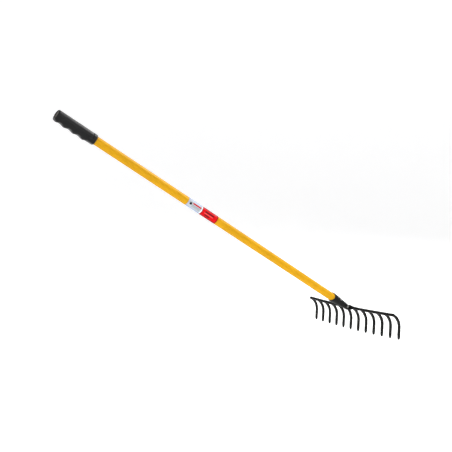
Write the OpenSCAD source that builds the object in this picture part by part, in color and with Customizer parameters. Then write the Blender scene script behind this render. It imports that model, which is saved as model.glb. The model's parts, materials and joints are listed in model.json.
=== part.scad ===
// Garden rake with a steel tube handle, a tapered socket and twelve curved tines.
// The tines stand upright on the ground, X points forward from the grip to the head, Z is up,
// and the origin is on the ground under the middle of the whole rake.

/* [Handle] */
// Slope of the handle above the ground when the tines stand upright
handle_angle = 31; // [27:0.5:36]
// From the bar's plane to the far end of the grip, along the handle
handle_reach = 1140; // [900:5:1400]
// Outside diameter of the handle tube
tube_d = 25; // [23:0.5:26]
// Wall of the handle tube
tube_wall = 1.2; // [0.8:0.1:2]
// How far the handle's centre line passes below the bar's centre
axis_drop = 3; // [2:0.5:4]

/* [Head] */
// Number of tines
tine_count = 12; // [12:1:12]
// Distance between neighbouring tines
tine_pitch = 37; // [30:0.5:40]
// Height of the bar's centre above the ground
bar_height = 78; // [74:1:90]
// Height of the bar's section, across the handle's line
bar_h = 8.5; // [7:0.5:9]
// Depth of the bar's section, along the handle's line
bar_t = 6; // [5:0.5:7]
// How far the bar's ends rise above its middle
bar_arch = 4.5; // [3:0.5:7]
// Length of bar beyond the centre of the last tine
bar_overhang = 4; // [3:0.5:8]

/* [Tines] */
// Width of a tine, along the bar
tine_w = 7.5; // [6:0.5:8]
// Depth of a tine, front to back
tine_t = 7.5; // [6:0.5:8]
// Straight lead from the bar to the bend
tine_lead = 2; // [1:0.5:4]
// Radius of the bend at the tine's centre line
tine_bend_r = 44; // [38:1:46]
// How far the tines lean back below the bend
tine_lean = 3; // [0:0.5:5]
// Length of the pointed end
tip_length = 8; // [8:1:14]
// Diameter of the blunt tip
tip_d = 4.6; // [2:0.2:5]
// Diameter of the spigot that goes through the bar
spigot_d = 4; // [3:0.5:4.5]

/* [Socket] */
// From the bar's plane to the socket's mouth
mouth_at = 85; // [80:1:95]
// Outside diameter of the mouth
mouth_d = 29.4; // [29:0.2:31]
// How far the mouth's rim dips at the left and right sides
mouth_dip = 6.5; // [3:0.5:7]
// Length of the straight stretch behind the mouth
mouth_straight = 12; // [8:1:14]
// Outside diameter of the nose at the bar
nose_d = 16; // [15:0.5:18]
// From the bar's plane to the tapered end of the tube
tube_end = 41; // [40:1:43]

/* [Tang] */
// Diameter of the tang in the socket's nose
tang_d = 11; // [9:0.5:11]
// From the bar's plane to the end of the tang
tang_end = 36; // [32:1:38]
// Thickness of the foot on the back of the bar
foot_t = 3; // [2:0.5:4]
// Half width of the foot along the bar
foot_half_w = 33; // [28:1:36]
// How far the foot's middle stands above the bar
foot_rise = 3; // [1:0.5:4]

/* [Rivets] */
// Diameter of both shanks
rivet_d = 5; // [4:0.5:5]
// Diameter of the heads
rivet_head_d = 8; // [7.5:0.5:8.5]
// Height of the domed part of a head
rivet_dome_h = 1.8; // [1.4:0.1:2.4]
// From the bar's plane to the rivet through the tube
tube_rivet_at = 50; // [49:1:58]
// Turn of that rivet above the horizontal
tube_rivet_turn = 40; // [0:5:45]
// From the bar's plane to the rivet through the tang
tang_rivet_at = 11; // [11:1:20]

/* [Grip] */
// Length of the grip
grip_len = 124; // [122:1:130]
// Diameter of the grip's round body
grip_d = 30; // [29:0.5:30]
// Diameter of the collar at the tube side
collar_d = 30.6; // [30.2:0.2:32]
// Length of the collar
collar_len = 12; // [10:1:13]
// Diameter of the lower body that stands out as the ridges
ridge_d = 22; // [20:0.5:23]
// How far the lower body sits below the centre line
ridge_drop = 8; // [7:0.5:8.5]
// Number of finger grooves
groove_count = 4; // [4:1:4]
// Distance between neighbouring grooves
groove_pitch = 28.5; // [27:0.5:28.5]
// From the grip's far end to the middle of the first groove
groove_first = 20.5; // [19:0.5:22]
// Radius of a groove
groove_r = 18; // [17:1:20]
// From the centre line to the floor of a groove
groove_floor = 15.1; // [15.1:0.1:15.5]
// From the grip's far end to the middle of the hollow behind the last ridge, out in the air
end_hollow = 2; // [0:0.5:4]
// Length of the rounded-off far end
grip_round = 3; // [2:0.5:4]
// How much the far end narrows on each side
grip_narrow = 1; // [0.5:0.1:1.2]
// Depth of the recess in the far end
recess_depth = 2; // [1:0.5:3]
// Diameter of the recess in the far end
recess_d = 24; // [20:0.5:24]

/* [Plug] */
// Thickness of the plug's flange
plug_flange = 2; // [1.5:0.5:3]
// Length of the plug's body inside the tube
plug_depth = 14; // [10:1:20]
// Length of the plug's round face in the grip's far end
plug_face = 3; // [2:0.5:4]

/* [Labels] */
// From the bar's plane to the near edge of the red label
red_at = 584; // [400:1:700]
// Length of the red label
red_len = 59; // [30:1:80]
// Length of the white label
white_len = 52; // [30:1:80]
// Thickness of both labels
label_t = 0.25; // [0.2:0.05:0.5]

/* [Hidden] */
$fn = 64;
cut = 1;
tube_r = tube_d / 2;
tube_bore_r = tube_r - tube_wall;

// The bar is an arc with its centre above it
head_half = (tine_count - 1) * tine_pitch / 2;
arch_r = (pow(head_half, 2) + pow(bar_arch, 2)) / (2 * bar_arch);
bar_half_angle = asin((head_half + bar_overhang) / arch_r);
arch_fn = 2400;

// A tine runs along the handle's line, bends down and ends in a straight stretch
bend_angle = 90 - handle_angle + tine_lean;
lead_end = bar_t / 2 + tine_lead;
bend_fall = tine_bend_r * (cos(handle_angle) + sin(tine_lean));
tine_straight = (bar_height - lead_end * sin(handle_angle) - bend_fall) / cos(tine_lean);
bend_front = lead_end * cos(handle_angle) + tine_bend_r * (1 - sin(handle_angle));
tine_corner_r = 0.62 * max(tine_w, tine_t);
tine_step = 0.04;
tip_base_r = tine_corner_r + 0.3;

// The socket tapers from mouth to nose, and the tube's end tapers with it
cone_from = mouth_at - mouth_straight;
nose_at = bar_t / 2 + foot_t;
cone_slope = (mouth_d - nose_d) / 2 / (cone_from - nose_at);
mouth_cut_r = (pow(mouth_d / 2, 2) + pow(mouth_dip, 2)) / (2 * mouth_dip);
tube_tip_r = tube_r - (cone_from - tube_end) * cone_slope;
rivet_seat = 1.6;

grip_at = handle_reach - grip_len;
grip_r = grip_d / 2;
ridge_r = ridge_d / 2;
plug_end = handle_reach - recess_depth;
flange_end = plug_end - plug_face;
tube_far_end = flange_end - plug_flange;
last_groove = handle_reach - groove_first - (groove_count - 1) * groove_pitch;

// The length of the whole rake on the ground, to put the origin under its middle
grip_low_edge = axis_drop + grip_r - grip_narrow;
back_x = -handle_reach * cos(handle_angle) - grip_low_edge * sin(handle_angle);
front_x = bend_front + tine_t / 2 + bar_arch * sin(handle_angle);
bar_x = -(back_x + front_x) / 2;

function tine_y(i) = (i - (tine_count - 1) / 2) * tine_pitch;
function arch_z(y) = arch_r - sqrt(pow(arch_r, 2) - pow(y, 2));
function socket_r(at) = nose_d / 2 + (at - nose_at) * cone_slope;

// Bar frame: origin at the bar's centre, X along the handle's line to the front
module in_bar_frame() {
    translate([bar_x, 0, bar_height]) rotate([0, handle_angle, 0]) children();
}

// Handle frame: Z from the bar's plane up the centre line to the grip, X on the handle's top side
module in_handle_frame() {
    in_bar_frame() translate([0, 0, -axis_drop]) rotate([0, -90, 0]) children();
}

module rod(r, from, to) {
    translate([0, 0, from]) cylinder(r = r, h = to - from);
}

module taper(r_from, r_to, from, to) {
    translate([0, 0, from]) cylinder(r1 = r_from, r2 = r_to, h = to - from);
}

// Turns a rivet's axis from Z to the right side of the handle, and up from the horizontal by turn
module across(at, turn) {
    translate([0, 0, at]) rotate([0, 0, turn]) rotate([90, 0, 0]) children();
}

module rivet_hole(at, turn) {
    across(at, turn) rod(rivet_d / 2, -mouth_d, mouth_d);
}

module rivet_seats(at, turn) {
    seat = socket_r(at) - rivet_seat;
    across(at, turn) rod(rivet_head_d / 2, seat, mouth_d);
    across(at, turn) rod(rivet_head_d / 2, -mouth_d, -seat);
}

module rivet_head(seat) {
    dome_r = (pow(rivet_head_d / 2, 2) + pow(rivet_dome_h, 2)) / (2 * rivet_dome_h);
    rod(rivet_head_d / 2, seat, seat + rivet_seat);
    intersection() {
        translate([0, 0, seat + rivet_seat + rivet_dome_h - dome_r]) sphere(r = dome_r);
        rod(rivet_head_d / 2, seat + rivet_seat, seat + rivet_seat + 2 * rivet_dome_h);
    }
}

module rivet(at, turn) {
    seat = socket_r(at) - rivet_seat;
    in_handle_frame() across(at, turn) {
        rod(rivet_d / 2, -seat, seat);
        rivet_head(seat);
        mirror([0, 0, 1]) rivet_head(seat);
    }
}

module handle_tube() {
    color("goldenrod") in_handle_frame() difference() {
        union() {
            rod(tube_r, cone_from, tube_far_end);
            taper(tube_tip_r, tube_r, tube_end, cone_from);
        }
        rod(tube_bore_r, cone_from, tube_far_end + cut);
        taper(tube_tip_r - tube_wall, tube_bore_r, tube_end, cone_from);
        rod(tube_tip_r - tube_wall, tube_end - cut, tube_end + cut / 10);
        rivet_hole(tube_rivet_at, tube_rivet_turn);
    }
}

// The round body with its collar, and the lower body that the finger grooves cut into ridges
module grip_outside() {
    rod(collar_d / 2, grip_at, grip_at + collar_len);
    rod(grip_r, grip_at, handle_reach - grip_round);
    taper(grip_r, grip_r - grip_narrow, handle_reach - grip_round, handle_reach);
    translate([-ridge_drop, 0, 0]) rod(ridge_r, last_groove, handle_reach - grip_round);
}

module finger_groove(at) {
    translate([-groove_floor - groove_r, 0, at]) rotate([90, 0, 0])
        cylinder(r = groove_r, h = 2 * grip_d, center = true);
}

module finger_grooves() {
    finger_groove(handle_reach + end_hollow);
    for (i = [0 : groove_count - 1]) finger_groove(handle_reach - groove_first - i * groove_pitch);
}

module hand_grip() {
    color("dimgray") in_handle_frame() difference() {
        grip_outside();
        difference() {
            finger_grooves();
            rod(groove_floor, last_groove - groove_pitch, handle_reach + cut);
        }
        rod(tube_r, grip_at - cut, flange_end);
        rod(recess_d / 2, flange_end - cut, handle_reach + cut);
    }
}

module tube_plug() {
    color("rosybrown") in_handle_frame() {
        rod(recess_d / 2, flange_end, plug_end);
        rod(tube_r, tube_far_end, flange_end);
        rod(tube_bore_r, tube_far_end - plug_depth, tube_far_end);
    }
}

module label(from, to) {
    in_handle_frame() difference() {
        rod(tube_r + label_t, from, to);
        rod(tube_r, from - cut, to + cut);
    }
}

module white_label() {
    color("whitesmoke") label(red_at + red_len, red_at + red_len + white_len);
}

module red_label() {
    color("firebrick") label(red_at, red_at + red_len);
}

// Cuts the mouth so that its rim reaches furthest up the tube on the top and bottom sides
module mouth_scoop() {
    translate([0, 0, mouth_at - mouth_dip + mouth_cut_r]) rotate([90, 0, 0])
        cylinder(r = mouth_cut_r, h = 2 * mouth_d, center = true);
}

module socket() {
    color("dimgray") in_handle_frame() difference() {
        union() {
            rod(mouth_d / 2, cone_from, mouth_at);
            taper(nose_d / 2, mouth_d / 2, nose_at, cone_from);
        }
        rod(tube_r, cone_from, mouth_at + cut);
        taper(tube_tip_r, tube_r, tube_end, cone_from);
        rod(tang_d / 2, nose_at - cut, tube_end + cut / 10);
        mouth_scoop();
        rivet_hole(tube_rivet_at, tube_rivet_turn);
        rivet_seats(tube_rivet_at, tube_rivet_turn);
        rivet_hole(tang_rivet_at, 0);
        rivet_seats(tang_rivet_at, 0);
    }
}

module tube_rivet() {
    color("lightsteelblue") rivet(tube_rivet_at, tube_rivet_turn);
}

// Outline of the foot: X is up from the handle's centre line, Y runs along the bar
module foot_outline() {
    bar_top = axis_drop + bar_h / 2;
    bar_bottom = axis_drop - bar_h / 2;
    nose_r = nose_d / 2;
    polygon([[bar_bottom, -foot_half_w], [-nose_r, -nose_r], [-nose_r, nose_r], [bar_bottom, foot_half_w],
             [bar_top, foot_half_w], [bar_top + foot_rise, nose_r], [bar_top + foot_rise, -nose_r],
             [bar_top, -foot_half_w]]);
}

module head_tang() {
    color("dimgray") in_handle_frame() difference() {
        union() {
            translate([0, 0, bar_t / 2]) linear_extrude(foot_t) foot_outline();
            rod(tang_d / 2, bar_t / 2, tang_end);
        }
        rivet_hole(tang_rivet_at, 0);
    }
}

module tang_rivet() {
    color("lightsteelblue") rivet(tang_rivet_at, 0);
}

// Places a spigot or a tine at its own height on the arched bar
module at_tine(i) {
    in_bar_frame() translate([0, tine_y(i), arch_z(tine_y(i))]) children();
}

module spigot() {
    translate([-bar_t / 2, 0, 0]) rotate([0, 90, 0]) cylinder(d = spigot_d, h = bar_t);
}

module head_bar() {
    color("dimgray") difference() {
        in_bar_frame() translate([0, 0, arch_r]) rotate([0, 90, 0])
            rotate_extrude(angle = 2 * bar_half_angle, start = -bar_half_angle, $fn = arch_fn)
                translate([arch_r, 0]) square([bar_h, bar_t], center = true);
        for (i = [0 : tine_count - 1]) at_tine(i) spigot();
    }
}

// A rectangle with rounded corners, drawn in on every side by the inset
module tine_section(inset) {
    intersection() {
        square([tine_t - 2 * inset, tine_w - 2 * inset], center = true);
        circle(r = tine_corner_r - inset);
    }
}

module tine_bend() {
    translate([lead_end, 0, -tine_bend_r]) rotate([90, 0, 0])
        rotate_extrude(angle = bend_angle, start = 90 - bend_angle, $fn = 180)
            translate([tine_bend_r, 0]) tine_section(0);
}

// The straight stretch, drawn along Z from just inside the bend and narrowing to the blunt tip
module tine_end() {
    intersection() {
        translate([0, 0, -cut]) linear_extrude(tine_straight + cut) tine_section(tine_step);
        union() {
            rod(tine_corner_r + cut, -2 * cut, tine_straight - tip_length);
            taper(tip_base_r, tip_d / 2, tine_straight - tip_length, tine_straight);
        }
    }
}

module tine(i) {
    color("dimgray") at_tine(i) {
        spigot();
        translate([bar_t / 2, 0, 0]) rotate([0, 90, 0]) linear_extrude(tine_lead) tine_section(0);
        tine_bend();
        translate([lead_end, 0, -tine_bend_r]) rotate([0, bend_angle, 0]) translate([0, 0, tine_bend_r])
            rotate([0, 90, 0]) tine_end();
    }
}

handle_tube();
hand_grip();
tube_plug();
white_label();
red_label();
socket();
tube_rivet();
head_tang();
tang_rivet();
head_bar();
tine(0);  // tine_01
tine(1);  // tine_02
tine(2);  // tine_03
tine(3);  // tine_04
tine(4);  // tine_05
tine(5);  // tine_06
tine(6);  // tine_07
tine(7);  // tine_08
tine(8);  // tine_09
tine(9);  // tine_10
tine(10);  // tine_11
tine(11);  // tine_12
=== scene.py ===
"""Looks of the garden rake: detailed pieces, materials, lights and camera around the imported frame."""

import json
import math

import bmesh
import bpy
from mathutils import Matrix, Vector


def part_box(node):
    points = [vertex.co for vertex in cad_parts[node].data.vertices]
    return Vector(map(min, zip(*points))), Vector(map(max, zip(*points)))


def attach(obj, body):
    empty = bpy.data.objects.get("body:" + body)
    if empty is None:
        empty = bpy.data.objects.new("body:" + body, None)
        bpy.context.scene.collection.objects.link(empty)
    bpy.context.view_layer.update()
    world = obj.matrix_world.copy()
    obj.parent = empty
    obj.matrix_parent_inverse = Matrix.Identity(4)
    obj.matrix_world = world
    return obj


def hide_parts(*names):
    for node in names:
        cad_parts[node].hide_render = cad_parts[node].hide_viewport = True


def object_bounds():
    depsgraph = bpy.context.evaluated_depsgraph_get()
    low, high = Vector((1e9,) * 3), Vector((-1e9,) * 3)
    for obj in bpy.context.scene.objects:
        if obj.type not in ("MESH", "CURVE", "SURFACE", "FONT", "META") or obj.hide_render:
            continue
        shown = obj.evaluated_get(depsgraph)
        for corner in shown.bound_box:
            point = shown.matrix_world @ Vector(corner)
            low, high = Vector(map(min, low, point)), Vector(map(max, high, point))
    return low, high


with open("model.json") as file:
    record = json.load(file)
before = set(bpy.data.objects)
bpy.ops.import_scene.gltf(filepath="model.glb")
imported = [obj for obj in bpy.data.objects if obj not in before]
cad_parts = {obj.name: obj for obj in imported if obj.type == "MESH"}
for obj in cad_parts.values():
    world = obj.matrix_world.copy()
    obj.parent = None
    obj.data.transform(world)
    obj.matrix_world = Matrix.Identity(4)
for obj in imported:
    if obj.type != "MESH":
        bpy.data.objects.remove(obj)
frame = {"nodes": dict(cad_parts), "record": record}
CAD_LOW, CAD_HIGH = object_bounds()
CENTRE = (CAD_LOW + CAD_HIGH) / 2
MM = 0.001
TAU = 2 * math.pi

# The handle's frame: up the handle, along the head bar, and out of the handle's top side
CLIP = next(m for m in frame["record"]["mounts"] if m["name"] == "tube_clip")
CLIP_PLACE = Vector(CLIP["pos_m"])
UP = Vector(CLIP["axis"]).normalized()
SIDE = Vector((0, 1, 0))
TOP = SIDE.cross(UP)
FORWARD = -UP


def stretch(node, origin):
    """Lowest and highest place of a CAD node up the handle, measured from an origin"""
    places = [(v.co - origin).dot(UP) for v in frame["nodes"][node].data.vertices]
    return min(places), max(places)


# The handle's centre line starts in the middle plane of the bar
ORIGIN = CLIP_PLACE + UP * (sum(stretch("head_bar", CLIP_PLACE)) / 2)
HANDLE = Matrix.Translation(ORIGIN) @ Matrix((TOP, SIDE, UP)).transposed().to_4x4()


def local(node):
    """A CAD node's vertices in the handle's frame, as (top, side, along)"""
    return [HANDLE.inverted() @ v.co for v in frame["nodes"][node].data.vertices]


def span(node):
    """Where a CAD node starts and ends along the handle"""
    return stretch(node, ORIGIN)


def radius_of(node, low=-1, high=2):
    """Largest distance from the centre line among a node's vertices between two places along it"""
    return max(math.hypot(p.x, p.y) for p in local(node) if low <= p.z <= high)


# Sizes read from the CAD that more than one piece needs
TUBE_R = CLIP["dims"]["r_mm"] * MM
TUBE_LOW, TUBE_HIGH = span("handle_tube")
TUBE_TIP_R = radius_of("handle_tube", TUBE_LOW - MM, TUBE_LOW + MM)
PLUG_LOW, PLUG_HIGH = span("tube_plug")
RECESS_R = radius_of("tube_plug", PLUG_HIGH - 0.5 * MM, PLUG_HIGH + MM)
SOCKET_LOW, SOCKET_HIGH = span("socket")
NOSE_R = radius_of("socket", SOCKET_LOW - MM, SOCKET_LOW + 0.2 * MM)
BAR_BACK = span("head_bar")[1]
TINES = sorted(node for node in frame["nodes"] if node.startswith("tine_"))

# Points round the handle, and parts of a rounded corner
AROUND = 128
CORNER_STEPS = 5

# Sizes that aren't read from the CAD: the plug's flange, the rivets' heads, the foot, the bar and the tines
FLANGE_T = 3 * MM
RIVET_HEAD_H = 3.4 * MM
FOOT_T = 3 * MM
BAR_CORNER_R = 1.5 * MM
SPIGOT_R = 2 * MM
PEENED_R = 2.5 * MM
TINE_T = 7.5 * MM
TINE_CORNER_R = 1.7 * MM
TINE_LEAD = 5 * MM
TINE_BEND_R = 44 * MM
TINE_TURN = math.radians(62)
TIP_LENGTH = 8 * MM
TIP_R = 2.3 * MM

# The labels' printed side faces right and slightly down, as seen from the grip
LABEL_FACING = math.radians(-103)
FRONT = TOP * math.cos(LABEL_FACING) + SIDE * math.sin(LABEL_FACING)
FRONT_TURN = TOP * -math.sin(LABEL_FACING) + SIDE * math.cos(LABEL_FACING)
PRINT_SOFT = 0.3 * MM


# ---------------------------------------------------------------- shapes

def smooth(low, high, value):
    """0 at low and 1 at high, held beyond them, with soft ends. low may be the larger of the two"""
    t = min(max((value - low) / (high - low), 0), 1)
    return t * t * (3 - 2 * t)


def soft_max(a, b, blend):
    """The larger of a and b, with the corner between them rounded over blend"""
    h = max(blend - abs(a - b), 0) / blend
    return max(a, b) + h * h * blend / 4


def soft_min(a, b, blend):
    """The smaller of a and b, with the corner between them rounded over blend"""
    return -soft_max(-a, -b, blend)


def steps(start, end, count):
    """The places from start to end in count equal steps, with both ends"""
    return [start + (end - start) * i / count for i in range(count + 1)]


def quarter(count):
    """The angles of a quarter turn in count steps, without its start"""
    return [t * math.pi / 2 for t in steps(0, 1, count)[1:]]


def rounded(corners):
    """The closed outline through corners (x, y, radius), each corner rounded by its own radius"""
    outline = []
    for i, (x, y, radius) in enumerate(corners):
        corner = Vector((x, y))
        before = Vector(corners[i - 1][:2]) - corner
        after = Vector(corners[(i + 1) % len(corners)][:2]) - corner
        reach = min(radius, 0.49 * before.length, 0.49 * after.length)
        a = corner + before.normalized() * reach
        b = corner + after.normalized() * reach
        for t in steps(0, 1, CORNER_STEPS):
            outline.append((1 - t) ** 2 * a + 2 * t * (1 - t) * corner + t * t * b)
    return outline


def ring(along, radius, count=AROUND, place=HANDLE):
    """Points round an axis. along and radius are numbers, or functions of the angle from the top side"""
    points = []
    for i in range(count):
        angle = TAU * i / count
        a = along(angle) if callable(along) else along
        r = radius(angle) if callable(radius) else radius
        points.append(place @ Vector((r * math.cos(angle), r * math.sin(angle), a)))
    return points


def turned(profile, count=AROUND, place=HANDLE):
    """Rings for a profile of (along, radius)"""
    return [ring(a, r, count, place) for a, r in profile]


def skin(rings, loop=False, into=None):
    """A closed skin over rings. loop joins the last ring to the first, or else both ends close to a point"""
    mesh = into or bmesh.new()
    rows = [[mesh.verts.new(p) for p in points] for points in rings]
    pairs = list(zip(rows, rows[1:])) + ([(rows[-1], rows[0])] if loop else [])
    made = []
    for a, b in pairs:
        for i in range(len(a)):
            j = (i + 1) % len(a)
            made.append(mesh.faces.new((a[i], a[j], b[j], b[i])))
    for row in [] if loop else (rows[0], rows[-1]):
        tip = mesh.verts.new(sum((v.co for v in row), Vector()) / len(row))
        for i in range(len(row)):
            made.append(mesh.faces.new((row[i], row[(i + 1) % len(row)], tip)))
    bmesh.ops.recalc_face_normals(mesh, faces=made)
    return mesh


def edge_wear(vertex):
    """How sharply a vertex stands out from its neighbours: 0 on flat and broad surfaces, 1 on edges"""
    broad, sharp, shortest = 200, 900, 1e-10
    bend = 0
    for edge in vertex.link_edges:
        step = vertex.co - edge.other_vert(vertex).co
        bend = max(bend, 2 * step.dot(vertex.normal) / max(step.length_squared, shortest))
    return smooth(broad, sharp, bend)


def piece(name, mesh, material, slot, *nodes):
    """Adds a finished mesh as a piece that stands for CAD nodes, with its edges marked for wear"""
    mesh.normal_update()
    wear = mesh.verts.layers.float.new("wear")
    for vertex in mesh.verts:
        vertex[wear] = edge_wear(vertex)
    data = bpy.data.meshes.new(name)
    mesh.to_mesh(data)
    mesh.free()
    data.shade_smooth()
    data.set_sharp_from_angle(angle=math.radians(40))
    data.materials.append(material)
    thing = bpy.data.objects.new(name, data)
    bpy.context.scene.collection.objects.link(thing)
    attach(thing, "root")
    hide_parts(*nodes)


# ---------------------------------------------------------------- materials

class Shader:
    """A material on the Principled shader, with short calls for the nodes used here"""

    def __init__(self, name, **values):
        self.material = bpy.data.materials.new(name)
        self.material.use_nodes = True
        self.tree = self.material.node_tree
        self.surface = self.tree.nodes["Principled BSDF"]
        for key, value in values.items():
            self.surface.inputs[key.replace("_", " ")].default_value = value
        self.object = self.node("ShaderNodeTexCoord").outputs["Object"]

    def node(self, kind, **settings):
        """Adds a shader node"""
        made = self.tree.nodes.new(kind)
        for key, value in settings.items():
            setattr(made, key, value)
        return made

    def feed(self, socket, value):
        """Links a value from another node, or sets a constant one"""
        if isinstance(value, bpy.types.NodeSocket):
            self.tree.links.new(value, socket)
        else:
            socket.default_value = value

    def set(self, name, value):
        """Sets one of the surface's own values"""
        self.feed(self.surface.inputs[name], value)

    def math(self, operation, a, b):
        """One sum on two values, such as ADD or MULTIPLY"""
        made = self.node("ShaderNodeMath", operation=operation)
        self.feed(made.inputs[0], a)
        self.feed(made.inputs[1], b)
        return made.outputs[0]

    def ramp(self, value, low, high, start=0.0, end=1.0):
        """Maps low..high to start..end with soft ends"""
        made = self.node("ShaderNodeMapRange", interpolation_type="SMOOTHSTEP")
        for socket, number in zip(made.inputs, (value, low, high, start, end)):
            self.feed(socket, number)
        return made.outputs[0]

    def within(self, value, low, high, soft):
        """1 where the value is between low and high, 0 outside, with ends soft on both sides"""
        return self.math("MULTIPLY", self.ramp(value, low - soft, low + soft),
                         self.ramp(value, high - soft, high + soft, 1.0, 0.0))

    def place(self, direction, origin=ORIGIN):
        """Distance of the shaded point from the origin along a direction"""
        away = self.node("ShaderNodeVectorMath", operation="SUBTRACT")
        self.feed(away.inputs[0], self.object)
        self.feed(away.inputs[1], tuple(origin))
        made = self.node("ShaderNodeVectorMath", operation="DOT_PRODUCT")
        self.feed(made.inputs[0], away.outputs[0])
        self.feed(made.inputs[1], tuple(direction))
        return made.outputs["Value"]

    def stretched(self, along, across):
        """Coordinates with the handle's length scaled by along and the other two by across"""
        made = self.node("ShaderNodeCombineXYZ")
        for socket, direction, scale in zip(made.inputs, (UP, TOP, SIDE), (along, across, across)):
            self.feed(socket, self.math("MULTIPLY", self.place(direction), scale))
        return made.outputs[0]

    def noise(self, scale, detail, vector=None):
        """Fractal noise from 0 to 1, about scale lumps to a metre"""
        made = self.node("ShaderNodeTexNoise")
        self.feed(made.inputs["Vector"], vector or self.object)
        self.feed(made.inputs["Scale"], scale)
        self.feed(made.inputs["Detail"], detail)
        return made.outputs[0]

    def cells(self, scale):
        """Soft round cells, about scale to a metre"""
        made = self.node("ShaderNodeTexVoronoi", feature="SMOOTH_F1")
        self.feed(made.inputs["Vector"], self.object)
        self.feed(made.inputs["Scale"], scale)
        return made.outputs["Distance"]

    def worn(self):
        """The mark that edge_wear left: 1 on edges"""
        return self.node("ShaderNodeAttribute", attribute_name="wear").outputs["Fac"]

    def blend(self, amount, first, second):
        """Mixes from the first colour at 0 to the second at 1"""
        made = self.node("ShaderNodeMix", data_type="RGBA")
        self.feed(made.inputs[0], amount)
        for socket, colour in zip((made.inputs[6], made.inputs[7]), (first, second)):
            self.feed(socket, (*colour, 1.0) if isinstance(colour, tuple) else colour)
        return made.outputs[2]

    def bump(self, height, depth, below=None):
        """Raises the surface by up to depth metres where height is 1"""
        made = self.node("ShaderNodeBump")
        self.feed(made.inputs["Strength"], 1.0)
        self.feed(made.inputs["Distance"], depth)
        self.feed(made.inputs["Height"], height)
        if below:
            self.feed(made.inputs["Normal"], below)
        return made.outputs[0]


def yellow_coat():
    """Powder-coated steel: orange peel, a slight mottle, and fine rubbed lines along the handle"""
    s = Shader("yellow_coat", Specular_IOR_Level=0.06)
    mottle = s.ramp(s.noise(22.0, 3.0), 0.35, 0.7)
    lines = s.ramp(s.noise(1.0, 3.0, s.stretched(9.0, 1500.0)), 0.56, 0.8)
    specks = s.ramp(s.noise(420.0, 2.0), 0.68, 0.8)
    colour = s.blend(mottle, (0.64, 0.325, 0.008), (0.7, 0.36, 0.01))
    colour = s.blend(s.math("MULTIPLY", lines, 0.16), colour, (0.55, 0.25, 0.009))
    colour = s.blend(s.math("MULTIPLY", specks, 0.22), colour, (0.5, 0.24, 0.02))
    colour = s.blend(s.math("MULTIPLY", s.worn(), 0.3), colour, (0.62, 0.36, 0.06))
    s.set("Base Color", colour)
    s.set("Roughness", s.ramp(s.math("ADD", s.math("MULTIPLY", lines, 0.5), mottle), 0.0, 1.5, 0.36, 0.52))
    peel = s.bump(s.noise(520.0, 2.0), 0.00006)
    s.set("Normal", s.bump(lines, 0.000012, peel))
    return s.material


def grip_rubber():
    """Black moulded rubber with a low sheen: fine grain, faint dust in patches and paler edges"""
    s = Shader("grip_rubber", Specular_IOR_Level=0.2)
    dust = s.ramp(s.noise(60.0, 6.0), 0.45, 0.75)
    colour = s.blend(dust, (0.005, 0.005, 0.0053), (0.009, 0.009, 0.0093))
    colour = s.blend(s.math("MULTIPLY", s.worn(), 0.5), colour, (0.03, 0.03, 0.031))
    s.set("Base Color", colour)
    s.set("Roughness", s.ramp(s.noise(35.0, 3.0), 0.3, 0.7, 0.29, 0.38))
    grain = s.bump(s.cells(1500.0), 0.00005)
    s.set("Normal", s.bump(s.noise(260.0, 3.0), 0.00005, grain))
    return s.material


def plug_plastic():
    """Matt brown-grey moulded plastic, dusty in patches"""
    s = Shader("plug_plastic", Specular_IOR_Level=0.3)
    dust = s.ramp(s.noise(240.0, 5.0), 0.4, 0.7)
    s.set("Base Color", s.blend(dust, (0.085, 0.075, 0.066), (0.14, 0.124, 0.108)))
    s.set("Roughness", s.ramp(dust, 0.0, 1.0, 0.55, 0.75))
    s.set("Normal", s.bump(s.noise(900.0, 3.0), 0.00005))
    return s.material


def arc_from_front(s):
    """Distance round the tube from the line that faces the labels' side, positive towards the top"""
    angle = s.math("ARCTAN2", s.place(FRONT_TURN), s.place(FRONT))
    return s.math("MULTIPLY", angle, TUBE_R)


def bar_print(s, u, v, place, colour, below):
    """Prints a plain bar over what is below. place is its from and to along the label, then round it"""
    left, right, low, high = place
    along, across = s.within(u, left, right, PRINT_SOFT), s.within(v, low, high, PRINT_SOFT)
    return s.blend(s.math("MULTIPLY", along, across), below, colour)


def printed_film(name, node, ground, edge, bars):
    """Satin printed film round the tube: an edge colour near its ends and round the sides turned away from
    the front, and plain bars of print
    """
    s = Shader(name, Specular_IOR_Level=0.05)
    low, high = span(node)
    u = s.math("SUBTRACT", high, s.place(UP))
    v = arc_from_front(s)
    near_rim, far_rim, side_rim = 3 * MM, 4 * MM, 10.5 * MM
    # The ground colour fills the front between the ends; the edge colour lies near both ends and round the
    # sides turned away from the front
    inside = s.math("MULTIPLY", s.within(u, near_rim, high - low - far_rim, 0.5 * MM),
                    s.within(v, -side_rim, side_rim, 0.8 * MM))
    colour = s.blend(inside, edge, ground)
    for place, paint in bars:
        colour = bar_print(s, u, v, [x * MM for x in place], paint, colour)
    scuff = s.ramp(s.noise(1.0, 4.0, s.stretched(60.0, 900.0)), 0.62, 0.8)
    colour = s.blend(s.math("MULTIPLY", scuff, 0.12), colour, (0.5, 0.47, 0.45))
    s.set("Base Color", colour)
    s.set("Roughness", s.ramp(s.noise(180.0, 3.0), 0.3, 0.7, 0.3, 0.45))
    s.set("Normal", s.bump(s.noise(160.0, 2.0), 0.00005))
    return s.material


def white_print():
    """Bluish white film with a dark mark, a red bar, a pale end and three thin grey bars, all plain"""
    dark, red = (0.02, 0.021, 0.023), (0.66, 0.02, 0.035)
    grey, pale = (0.3, 0.33, 0.36), (0.86, 0.9, 0.9)
    bars = [((6.5, 13.5, -3.2, 3.8), dark), ((17, 47, 2.2, 6.2), red), ((48.5, 52, -14, 14), pale)]
    bars += [((16, 45, low, low + 1.4), grey) for low in (-1.4, -4.0, -6.6)]
    return printed_film("white_print", "white_label", (0.5, 0.54, 0.58), (0.42, 0.48, 0.65), bars)


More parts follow.
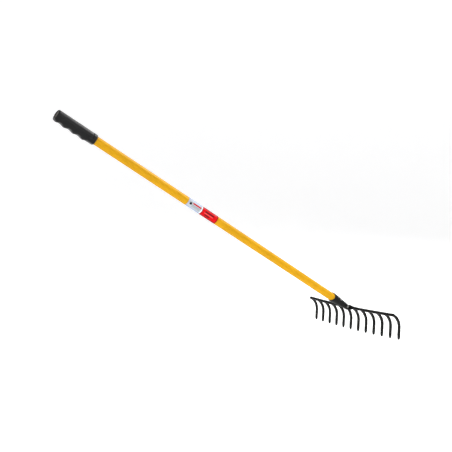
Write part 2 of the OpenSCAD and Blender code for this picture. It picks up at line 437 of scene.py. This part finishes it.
def red_print():
    """Red film, darker near its ends and round the sides turned away from the front, with two plain dark
    bars and a lighter one between them
    """
    dark, light = (0.13, 0.012, 0.014), (0.82, 0.09, 0.09)
    bars = [((12, 44, 1.8, 5.8), dark), ((14, 32, -7.2, -3.4), dark), ((10, 42, -2.2, 0.4), light)]
    return printed_film("red_print", "red_label", (0.72, 0.006, 0.01), (0.36, 0.001, 0.008), bars)


def black_paint(name, base, depth, roughness):
    """Satin black paint over steel hammered to a depth, rubbed on the edges and dusty in places"""
    s = Shader(name, Specular_IOR_Level=0.1)
    tone = s.ramp(s.noise(55.0, 5.0), 0.35, 0.7)
    colour = s.blend(tone, base, tuple(c * 1.35 for c in base))
    earth = s.ramp(s.noise(140.0, 6.0), 0.6, 0.78)
    colour = s.blend(s.math("MULTIPLY", earth, 0.2), colour, (0.06, 0.05, 0.04))
    chips = s.math("MULTIPLY", s.worn(), s.ramp(s.noise(300.0, 5.0), 0.42, 0.62))
    colour = s.blend(s.math("MULTIPLY", chips, 0.45), colour, (0.12, 0.12, 0.122))
    s.set("Base Color", colour)
    s.set("Roughness", s.ramp(s.noise(90.0, 4.0), 0.3, 0.7, roughness, roughness + 0.16))
    hammered = s.bump(s.noise(130.0, 2.0), depth)
    s.set("Normal", s.bump(s.noise(1100.0, 3.0), 0.00004, hammered))
    return s.material


def rivet_steel():
    """Bare dulled steel with darker stains and a fine grain"""
    s = Shader("rivet_steel", Metallic=1.0)
    stain = s.ramp(s.noise(420.0, 5.0), 0.4, 0.7)
    s.set("Base Color", s.blend(stain, (0.3, 0.3, 0.29), (0.19, 0.187, 0.18)))
    s.set("Roughness", s.ramp(s.noise(700.0, 4.0), 0.3, 0.7, 0.34, 0.5))
    s.set("Normal", s.bump(s.noise(1600.0, 3.0), 0.00003))
    return s.material


# ---------------------------------------------------------------- handle

def tube():
    """The tube with its tapered end, eased cut edges and a weld seam on the underside"""
    points = local("handle_tube")
    bore = min(math.hypot(p.x, p.y) for p in points if p.z > TUBE_HIGH - MM)
    straight = min(p.z for p in points if math.hypot(p.x, p.y) > TUBE_R - 0.02 * MM)
    wall = TUBE_R - bore
    seam_h, seam_angle = 0.08 * MM, 0.05
    low_edge, high_edge = 0.3 * MM, 0.4 * MM
    parts = 44

    def outside(radius):
        """The surface lies the seam's height inside the radius, except on the seam"""
        return lambda angle: radius + seam_h * (math.exp(-((angle - math.pi) / seam_angle) ** 2) - 1)

    outer = [(TUBE_LOW, TUBE_TIP_R - low_edge), (TUBE_LOW + low_edge, TUBE_TIP_R)]
    outer += [(a, TUBE_R) for a in steps(straight, TUBE_HIGH - high_edge, parts)]
    outer += [(TUBE_HIGH, TUBE_R - high_edge)]
    inner = [(a, bore) for a in steps(TUBE_HIGH, straight, parts)] + [(TUBE_LOW, TUBE_TIP_R - wall)]
    rings = [ring(a, outside(r)) for a, r in outer] + turned(inner)
    piece("coated_tube", skin(rings, loop=True), yellow_coat(), "yellow_coat", "handle_tube")


def grip_surface(low, high):
    """Gives, for a place along the grip, its radius as a function of the angle from the top side"""
    points = local("hand_grip")
    body = max(p.x for p in points if p.z > low + 20 * MM)
    collar = radius_of("hand_grip", low - MM, low + 2 * MM)
    collar_end = max(p.z for p in points if p.x > collar - 0.1 * MM)
    deepest = -min(p.x for p in points)
    floor = body - 0.2 * MM
    ridges, ridge_r, ridge_angle, hollow_r = 4, 11.5 * MM, 1.3, 18 * MM
    end_hollow, first, pitch = 2 * MM, 20.5 * MM, 28.5 * MM
    hollows = [high + end_hollow] + [high - first - i * pitch for i in range(ridges)]
    groove_depth, groove_at, groove_width = 0.6 * MM, 1.1 * MM, 0.7 * MM
    inset, parting_h, parting_angle = 0.2 * MM, 0.12 * MM, 0.035

    def wave(along):
        """How far the underside may stand out at a place along the grip"""
        reach = deepest
        for middle in hollows:
            away = abs(along - middle)
            if away < hollow_r:
                reach = soft_min(reach, floor + hollow_r - math.sqrt(hollow_r ** 2 - away ** 2), 2.4 * MM)
        return max(reach, floor) if along > hollows[-1] else floor

    def outside(along):
        """The section: round, with the ridge's lobe under it, and a parting line on both sides"""
        edge = smooth(collar_end + 0.4 * MM, collar_end - 0.4 * MM, along)
        groove = groove_depth * math.exp(-((along - collar_end - groove_at) / groove_width) ** 2)
        round_r = body + (collar - body) * edge - groove
        limit = wave(along)

        def radius(angle):
            """The surface's distance from the centre line at an angle"""
            off = abs(angle - math.pi)
            shape = round_r
            if off < ridge_angle:
                drop = deepest - ridge_r
                lobe = drop * math.cos(off) + math.sqrt(ridge_r ** 2 - (drop * math.sin(off)) ** 2)
                shape = soft_max(round_r, soft_min(lobe, limit / math.cos(off), 1.4 * MM), 1.6 * MM)
            parting = min(abs(angle - math.pi / 2), abs(angle - 3 * math.pi / 2))
            return shape - inset + parting_h * math.exp(-(parting / parting_angle) ** 2)
        return radius
    return outside


def grip():
    """The moulded grip: a round body and collar, with four finger ridges underneath"""
    low, high = span("hand_grip")
    outside = grip_surface(low, high)
    end_r, end_drop = 3 * MM, 2.1 * MM
    rings = [ring(low, TUBE_R + 0.5 * MM)]
    for up, drop in ((0.25 * MM, 0.9 * MM), (0.9 * MM, 0.2 * MM)):
        rings.append(ring(low + up, lambda angle, d=drop: outside(low)(angle) - d))
    for along in steps(low + 1.5 * MM, high - end_r, 122):
        rings.append(ring(along, outside(along)))
    shoulder = outside(high - end_r)
    for turn in quarter(6):
        rings.append(ring(high - end_r * (1 - math.sin(turn)),
                          lambda angle, t=turn: shoulder(angle) - end_drop * (1 - math.cos(t))))
    flange_end = PLUG_HIGH - FLANGE_T
    lip = 0.4 * MM
    rings += turned([(high, RECESS_R + lip), (high - lip, RECESS_R), (flange_end, RECESS_R),
                     (flange_end, TUBE_R), (low + 3 * MM, TUBE_R), (low + 1.5 * MM, TUBE_R + 0.15 * MM)])
    piece("moulded_grip", skin(rings, loop=True), grip_rubber(), "grip_rubber", "hand_grip")


def plug():
    """The plug: a ribbed body in the tube, a flange, and a face with a moulded ring and a gate mark"""
    low, high = PLUG_LOW, PLUG_HIGH
    bore = radius_of("tube_plug", low, low + 5 * MM)
    flange, flange_back = high - FLANGE_T, high - FLANGE_T - 2 * MM
    flange_r, face_r = TUBE_R - 0.1 * MM, RECESS_R - 0.1 * MM
    rib_h, rib_half, edge = 0.5 * MM, 0.7 * MM, 0.5 * MM
    profile = [(low, 0.4 * bore), (low, bore - 0.8 * MM), (low + 0.8 * MM, bore - 0.2 * MM)]
    for a in steps(low + 3 * MM, flange - 4.5 * MM, 3):
        profile += [(a, bore - rib_h), (a + rib_half, bore), (a + 2 * rib_half, bore - rib_h)]
    profile += [(flange_back, bore - 0.3 * MM), (flange_back, flange_r), (flange, flange_r)]
    profile += [(flange, face_r), (high - edge, face_r), (high, face_r - edge)]
    ring_r, ring_half, ring_depth = 7.6 * MM, MM, 0.5 * MM
    profile += [(high, ring_r + ring_half), (high - ring_depth, ring_r + ring_half / 2)]
    profile += [(high - ring_depth, ring_r - ring_half / 2), (high, ring_r - ring_half)]
    gate_depth, pip_depth = 0.4 * MM, 0.1 * MM
    profile += [(high, 2.2 * MM), (high - gate_depth, 1.8 * MM)]
    profile += [(high - gate_depth, 0.9 * MM), (high - pip_depth, 0.5 * MM)]
    piece("end_plug", skin(turned(profile, 96)), plug_plastic(), "plug_plastic", "tube_plug")


def label(name, node, material, slot):
    """A printed film sleeve whose ends overlap on the far side"""
    low, high = span(node)
    film = radius_of(node) - TUBE_R
    single, thin_edge, edge = 0.7, 0.7, 0.15 * MM

    def outside(lift):
        """The film's radius round the tube, as a function of the angle. lift is 1 away from its edges"""
        def radius(angle):
            """The film is single all round but for a short stretch where it laps over itself"""
            lap = smooth(1.25, 1.27, angle) * smooth(1.75, 1.6, angle)
            return TUBE_R + film * lift * (single + (1 - single) * lap)
        return radius

    rings = [ring(low, TUBE_R), ring(low, outside(thin_edge)), ring(low + edge, outside(1))]
    rings += [ring(a, outside(1)) for a in steps(low + 2 * MM, high - 2 * MM, 16)]
    rings += [ring(high - edge, outside(1)), ring(high, outside(thin_edge)), ring(high, TUBE_R)]
    piece(name, skin(rings, loop=True), material, slot, node)


# ---------------------------------------------------------------- socket and rivets

def rivet_measures(node):
    """A rivet's place along the handle, its direction, its heads' radius and how far they reach out"""
    points = local(node)
    middle = sum(points, Vector()) / len(points)
    away = [p - middle for p in points]
    farthest = max(p.length for p in away)
    outward = sum((p if p.y < 0 else -p for p in away if p.length > 0.97 * farthest), Vector())
    outward.z = 0
    outward.normalize()
    along = sum(p.z for p in points) / len(points)
    head_r = max(abs(p.z - along) for p in points)
    out = max(p.x * outward.x + p.y * outward.y for p in points)
    return along, outward, head_r, out


RIVETS = {node: rivet_measures(node) for node in ("tube_rivet", "tang_rivet")}


def pressed(points):
    """Presses a flat round seat into the socket's surface on both sides for each rivet"""
    sink, rim, slope, rise = 0.25 * MM, 0.2 * MM, 3.4 * MM, 6 * MM
    done = []
    for world in points:
        p = HANDLE.inverted() @ world
        for along, outward, head_r, out in RIVETS.values():
            seat = out - RIVET_HEAD_H
            from_rivet = p - Vector((0, 0, along))
            height = from_rivet.dot(outward)
            away = (from_rivet - outward * height).length
            limit = seat + sink + rise * smooth(head_r + rim, head_r + slope, away)
            if abs(height) > limit:
                p = p - outward * math.copysign(abs(height) - limit, height)
        done.append(HANDLE @ p)
    return done


def socket():
    """The tapered socket: scooped mouth with a rounded lip, rivet seats, and a closed seam underneath"""
    points = local("socket")
    mouth_r = radius_of("socket")
    tang_r = radius_of("head_tang", SOCKET_LOW + 5 * MM, 1)
    cone_from = min(p.z for p in points if math.hypot(p.x, p.y) > mouth_r - 0.02 * MM)
    beyond = [p for p in points if p.z > cone_from + MM]
    dip_at = min(p.z for p in beyond if math.hypot(p.x, p.y) > mouth_r - 0.1 * MM)
    dip = SOCKET_HIGH - dip_at
    scoop_r = (mouth_r ** 2 + dip ** 2) / (2 * dip)
    seam_depth, seam_width = 0.35 * MM, 0.6 * MM
    lip, gap, nose_edge = 0.9 * MM, 0.2 * MM, 0.5 * MM

    def rim(angle):
        """The mouth's edge: an arc scooped out of the top and the underside"""
        return dip_at + scoop_r - math.sqrt(scoop_r ** 2 - (mouth_r * math.cos(angle)) ** 2)

    def outside(radius):
        """The outer surface, with the seam as a narrow groove along the underside"""
        return lambda angle: radius - seam_depth * math.exp(-((angle - math.pi) * radius / seam_width) ** 2)

    def cone_r(along):
        """The radius that widens evenly from the nose to the straight part"""
        return NOSE_R + (mouth_r - NOSE_R) * (along - SOCKET_LOW) / (cone_from - SOCKET_LOW)

    rings = [ring(SOCKET_LOW, outside(NOSE_R - nose_edge))]
    for along in steps(SOCKET_LOW + nose_edge, cone_from, 62):
        rings.append(pressed(ring(along, outside(soft_min(cone_r(along), mouth_r, 0.8 * MM)))))
    for part in steps(0, 1, 9)[1:]:
        rings.append(ring(lambda angle, t=part: cone_from + (rim(angle) - lip - cone_from) * t,
                          outside(mouth_r)))
    for turn in quarter(6):
        rings.append(ring(lambda angle, t=turn: rim(angle) - lip * (1 - math.sin(t)),
                          outside(mouth_r - lip * (1 - math.cos(turn)))))
    for depth, clear in ((0, gap + 0.3 * MM), (0.3 * MM, gap), (2.5 * MM, gap), (3 * MM, 0)):
        rings.append(ring(lambda angle, d=depth: rim(angle) - d, TUBE_R + clear))
    rings += turned([(cone_from, TUBE_R), (TUBE_LOW, TUBE_TIP_R), (TUBE_LOW, tang_r), (SOCKET_LOW, tang_r)])
    paint = black_paint("black_socket", (0.007, 0.0074, 0.0072), 0.0001, 0.38)
    piece("pressed_socket", skin(rings, loop=True), paint, "black_socket", "socket")


def rivet(name, node, material):
    """A rivet with its shank and two domed heads, slightly flattened by the setting tool"""
    along, outward, head_r, out = RIVETS[node]
    seat = out - RIVET_HEAD_H
    across = Vector((0, 0, 1))
    turn = Matrix((across, outward.cross(across), outward)).transposed().to_4x4()
    place = HANDLE @ Matrix.Translation((0, 0, along)) @ turn
    shank_r, flat_r, side_h, flat_drop = 2.5 * MM, 1.3 * MM, 0.7 * MM, 0.05 * MM
    dome_h = out - seat - side_h - flat_drop
    head = [(seat, shank_r), (seat + 0.1 * MM, head_r - 0.4 * MM), (seat + side_h, head_r)]
    for a in quarter(9):
        head.append((seat + side_h + dome_h * math.sin(a), flat_r + (head_r - flat_r) * math.cos(a)))
    head.append((out - 0.12 * MM, 0.6 * MM))
    profile = [(-a, r) for a, r in reversed(head)] + head
    piece(name, skin(turned(profile, 48, place)), material, "rivet_steel", node)


# ---------------------------------------------------------------- head

HEAD_PAINT = black_paint("black_head", (0.0035, 0.0035, 0.0036), 0.00022, 0.4)


def foot():
    """The forged foot on the back of the bar, the tang inside the socket, and the weld round the nose"""
    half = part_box("head_tang")[1].y
    face = [p for p in local("head_tang") if p.z < BAR_BACK + FOOT_T + 0.1 * MM]
    bottom, top = min(p.x for p in face), max(p.x for p in face)
    tip = [p for p in face if p.y > half - 0.1 * MM]
    tip_bottom, tip_top = min(p.x for p in tip), max(p.x for p in tip)
    taper, sunk, sharp, corner_r = 0.6 * MM, 0.8 * MM, 0.01 * MM, 1.3 * MM

    def section(y):
        """The foot's outline across the bar: full in the middle, low and thin at both ends"""
        full = 1 - smooth(NOSE_R * 0.6, half, abs(y))
        low = tip_bottom + taper + (bottom - tip_bottom) * full
        high = tip_top - taper + (top - tip_top) * full
        back = BAR_BACK + FOOT_T * (0.3 + 0.7 * full)
        front = BAR_BACK - sunk
        back_r = corner_r * (0.4 + full)
        corners = [(low, front, sharp), (high, front, sharp), (high, back, back_r), (low, back, back_r)]
        return [HANDLE @ Vector((x, y, z)) for x, z in rounded(corners)]

    mesh = skin([section(y) for y in steps(-half + 0.3 * MM, half - 0.3 * MM, 66)])
    tang(mesh)
    weld(mesh)
    piece("forged_foot", mesh, HEAD_PAINT, "black_head", "head_tang")


def tang(mesh):
    """Adds the round tang to the foot's mesh"""
    high = span("head_tang")[1]
    tang_r = radius_of("head_tang", high - 5 * MM, high)
    edge = MM
    skin(turned([(BAR_BACK, tang_r), (high - edge, tang_r), (high, tang_r - edge)], 64), into=mesh)


def weld(mesh):
    """Adds the rippled weld bead round the socket's nose to the foot's mesh"""
    ripple = 0.25 * MM
    base, inner_r = BAR_BACK + FOOT_T - 0.2 * MM, NOSE_R - MM
    bead_h, bead_w = 1.3 * MM, 1.1 * MM

    def bead(radius):
        """A radius that ripples round the nose"""
        return lambda angle: radius + ripple * math.sin(26 * angle) * math.sin(3 * angle + 1)

    profile = [(base - 0.4 * MM, inner_r)]
    for a in [0, *quarter(6)]:
        profile.append((base + bead_h * math.sin(a), NOSE_R + bead_w * math.cos(a)))
    rings = [ring(a, bead(r)) for a, r in profile] + [ring(profile[-1][0], inner_r)]
    skin(rings, loop=True, into=mesh)


def bar_height():
    """Lowest and highest place of the bar's middle over the handle's centre line"""
    near = [p.x for p in local("head_bar") if abs(p.y) < 20 * MM]
    return min(near), max(near)


def arch(y):
    """How far the bar has risen at a place along it, from the heights of its own tines"""
    outer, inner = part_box(TINES[0]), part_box(TINES[len(TINES) // 2])
    rise = (outer[1].z - inner[1].z) / TOP.z
    return rise * (y / ((outer[0].y + outer[1].y) / 2)) ** 2


def bar():
    """The forged bar: rounded edges, a slight swell, and rounded ends"""
    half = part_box("head_bar")[1].y
    bottom, top = bar_height()
    middle = (bottom + top) / 2
    end_r = 2 * MM

    def section(y):
        """The bar's outline across its length, smaller where the end rounds off"""
        end = math.sqrt(max(0, 1 - max(0, (abs(y) - half + end_r) / end_r) ** 2))
        shrink = 0.35 + 0.65 * end
        swell = 1 + 0.008 * math.sin(y * 140) + 0.006 * math.sin(y * 310 + 1)
        h, d = (top - bottom) / 2 * shrink * min(swell, 1), BAR_BACK * shrink
        corners = [(x, z, BAR_CORNER_R) for x, z in ((-h, -d), (h, -d), (h, d), (-h, d))]
        lift = middle + arch(y)
        return [HANDLE @ Vector((x + lift, y, z)) for x, z in rounded(corners)]

    ends = [half - end_r * (1 - math.sin(t)) for t in steps(0, math.pi / 2, 6)]
    places = [-y for y in reversed(ends)] + steps(-half + end_r, half - end_r, 160)[1:-1] + ends
    piece("forged_bar", skin([section(y) for y in places]), HEAD_PAINT, "black_head", "head_bar")


def tine_path(start, low):
    """Places and headings from the bar, round the bend and down to low, and how many come before the tip"""
    pivot = start + FORWARD * TINE_LEAD - TOP * TINE_BEND_R
    path = [(start + FORWARD * a, FORWARD) for a in steps(BAR_BACK - 0.4 * MM, TINE_LEAD, 5)]
    for turn in steps(0, TINE_TURN, 26)[1:]:
        outward = TOP * math.cos(turn) + FORWARD * math.sin(turn)
        path.append((pivot + outward * TINE_BEND_R, FORWARD * math.cos(turn) - TOP * math.sin(turn)))
    bend_end, down = path[-1]
    length = (bend_end.z - low) / -down.z - 0.15 * MM
    path += [(bend_end + down * a, down) for a in steps(0, length - TIP_LENGTH, 10)[1:]]
    tip_from = len(path)
    path += [(bend_end + down * a, down) for a in steps(length - TIP_LENGTH, length, 10)[1:]]
    return path, tip_from


def tine_section(place, heading, depth, across, corner):
    """A rounded rectangle across the heading: depth in the bend's plane, across along the bar"""
    outward = SIDE.cross(heading)
    depth, across, corner = max(depth, 0.05 * MM), max(across, 0.05 * MM), max(corner, 0.04 * MM)
    corners = [(-depth, -across, corner), (depth, -across, corner),
               (depth, across, corner), (-depth, across, corner)]
    return [place + outward * x + SIDE * y for x, y in rounded(corners)]


def spigot(start):
    """The tine's spigot through the bar, with its end peened over behind it"""
    rings = []
    for back, r in ((BAR_BACK + 0.5 * MM, 0.9 * MM), (BAR_BACK + 0.4 * MM, 1.8 * MM),
                    (BAR_BACK + 0.1 * MM, PEENED_R), (BAR_BACK - 0.2 * MM, PEENED_R),
                    (-BAR_BACK + 0.6 * MM, SPIGOT_R)):
        rings.append(tine_section(start - FORWARD * back, FORWARD, r, r, r))
    return rings


def tine(node, number):
    """A swept tine with a flared root, a slimmer lower half and a blunt point, and its spigot"""
    low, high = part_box(node)
    y = (low.y + high.y) / 2
    wide = high.y - low.y
    start = HANDLE @ Vector((sum(bar_height()) / 2 + arch(y), y, 0))
    path, tip_from = tine_path(start, low.z)
    rings = spigot(start)
    total, run, flare = len(path), 0, 0.05
    for i, (place, heading) in enumerate(path):
        run += (place - path[i - 1][0]).length if i else 0
        root = 1 + flare * (1 - smooth(0, 3.4 * MM, run))
        slim = 1 - 0.04 * smooth(0.3 * total, 0.8 * total, i)
        uneven = 1 + 0.012 * math.sin(run * 260 + number * 2.1)
        across = wide / 2 * min(slim * root * uneven, 1)
        depth = TINE_T / 2 * slim * root
        corner = TINE_CORNER_R
        if i >= tip_from:
            t = (i - tip_from + 1) / (total - tip_from)
            point = math.sqrt(max(0, 1 - t * t)) * 0.25 + 0.75 * (1 - t)
            blunt = TIP_R * min(1, 3.2 * (1 - t) ** 0.5)
            across = blunt + (across - TIP_R) * point
            depth = blunt + (depth - TIP_R) * point
            corner = TINE_CORNER_R * (1 - t) + 0.95 * min(across, depth) * t
        rings.append(tine_section(place, heading, depth, across, corner))
    piece(f"forged_{node}", skin(rings), HEAD_PAINT, "black_head", node)


# ---------------------------------------------------------------- setting

def backdrop():
    """A pale round floor that curves up into a wall on all sides, and glows less towards its top"""
    wide, bend, tall, sides = 7.0, 2.5, 7.0, 96
    profile = [(0.4, 0.0), (1.2, 0.0), (2.4, 0.0)]
    for t in steps(0, math.pi / 2, 16):
        profile.append((wide - bend + bend * math.sin(t), bend - bend * math.cos(t)))
    profile.append((wide, tall))
    mesh = bmesh.new()
    rows = [[mesh.verts.new(p) for p in ring(z, r, sides, Matrix())] for r, z in profile]
    mesh.faces.new(rows[0])
    for a, b in zip(rows, rows[1:]):
        for i in range(sides):
            j = (i + 1) % sides
            mesh.faces.new((a[i], b[i], b[j], a[j]))
    data = bpy.data.meshes.new("backdrop")
    mesh.to_mesh(data)
    mesh.free()
    data.shade_smooth()
    s = Shader("backdrop_paper", Specular_IOR_Level=0.1, Roughness=0.9, Emission_Color=(1.0, 1.0, 1.0, 1.0))
    s.set("Emission Strength", s.ramp(s.place((0, 0, 1), (0, 0, 0)), 2.2, 4.5, 0.45, 0.04))
    s.set("Base Color", s.blend(s.noise(3.0, 2.0), (0.84, 0.84, 0.845), (0.86, 0.86, 0.86)))
    data.materials.append(s.material)
    floor = bpy.data.objects.new("backdrop", data)
    floor.location.z = CAD_LOW.z - 0.1 * MM
    bpy.context.scene.collection.objects.link(floor)


def softbox(name, place, aim, width, height, power):
    """A large soft light at a place, aimed at a point, its width level"""
    light = bpy.data.lights.new(name, "AREA")
    light.shape = "RECTANGLE"
    light.size, light.size_y, light.energy = width, height, power
    lamp = bpy.data.objects.new(name, light)
    back = (place - aim).normalized()
    right = Vector((0, 0, 1)).cross(back).normalized()
    turn = Matrix((right, back.cross(right), back)).transposed().to_4x4()
    lamp.matrix_world = Matrix.Translation(place) @ turn
    lamp.visible_camera = False
    bpy.context.scene.collection.objects.link(lamp)


def lights():
    """A weak white sky, a key light beyond the head, a fill on its right and a light on the far side"""
    world = bpy.data.worlds.new("sky")
    bpy.context.scene.world = world
    world.use_nodes = True
    sky = world.node_tree.nodes["Background"]
    sky.inputs["Color"].default_value = (1.0, 1.0, 1.0, 1.0)
    sky.inputs["Strength"].default_value = 0.22
    softbox("key", CENTRE + Vector((2.1, 0.1, 1.9)), CENTRE + Vector((-0.3, 0, 0.1)), 1.4, 1.0, 80)
    softbox("fill", CENTRE + Vector((1.4, -3.0, 1.0)), CENTRE + Vector((0.3, 0, 0)), 1.6, 1.6, 14)
    softbox("rear", CENTRE + Vector((-0.6, 2.8, 2.6)), CENTRE, 1.8, 1.8, 16)


def camera():
    """The camera on the grip's right side, a little above, looking at the middle of the rake"""
    azimuth, elevation = math.radians(-31.47), math.radians(3.745)
    distance, aim_right, aim_up, lens = 2.4017, 0.0092, 0.0201, 65.61
    right = Vector((math.cos(azimuth), math.sin(azimuth), 0))
    level = Vector((-math.sin(azimuth), math.cos(azimuth), 0))
    look = level * math.cos(elevation) - Vector((0, 0, math.sin(elevation)))
    up = right.cross(look)
    place = CENTRE + right * aim_right + up * aim_up - look * distance
    data = bpy.data.cameras.new("camera")
    data.lens = lens
    eye = bpy.data.objects.new("camera", data)
    eye.matrix_world = Matrix.Translation(place) @ Matrix((right, up, -look)).transposed().to_4x4()
    bpy.context.scene.collection.objects.link(eye)
    bpy.context.scene.camera = eye
    bpy.context.scene.view_settings.view_transform = "Standard"


camera()
tube()
grip()
plug()
label("white_sticker", "white_label", white_print(), "white_print")
label("red_sticker", "red_label", red_print(), "red_print")
socket()
steel = rivet_steel()
rivet("tube_rivet_pin", "tube_rivet", steel)
rivet("tang_rivet_pin", "tang_rivet", steel)
foot()
bar()
for number, node in enumerate(TINES):
    tine(node, number)
backdrop()
lights()
